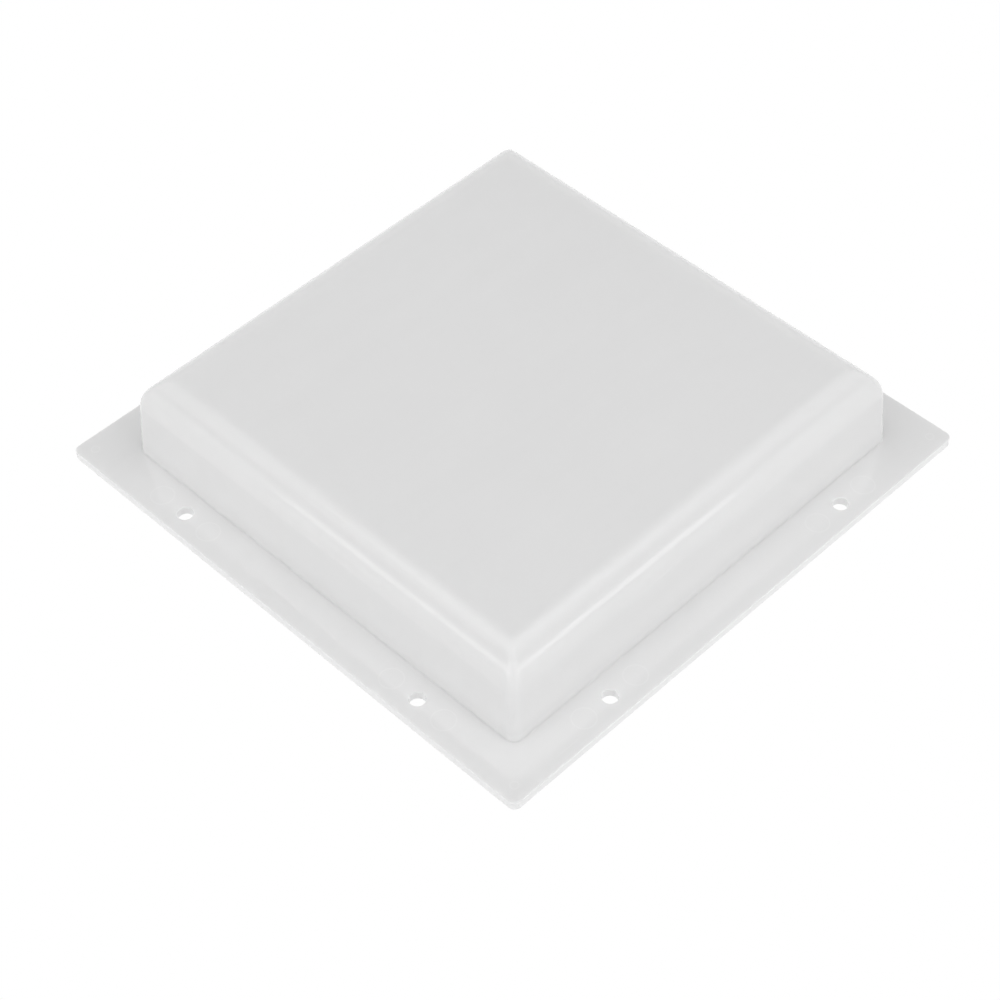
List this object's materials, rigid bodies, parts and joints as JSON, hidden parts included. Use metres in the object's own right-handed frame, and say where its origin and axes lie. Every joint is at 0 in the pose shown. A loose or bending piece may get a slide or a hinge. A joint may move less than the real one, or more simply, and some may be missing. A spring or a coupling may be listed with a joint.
{
  "type": "light diffuser cover",
  "caption": "Square one-piece opal light cover: a low hollow dome with drafted walls and round top edges on a thin flat flange with screw holes.",
  "frame": {"origin": "centre of the flange's underside, the face that rests on the lamp body", "axes": "+Z out of the dome, along the screws; X and Y along the flange's sides"},
  "size_m": [0.19, 0.19, 0.032],
  "materials": {
    "opal_plastic": "smooth glossy opal, lets light through but not an image"
  },
  "bodies": {
    "root": {"diffuser_cover": "opal_plastic"}
  },
  "joints": []
}
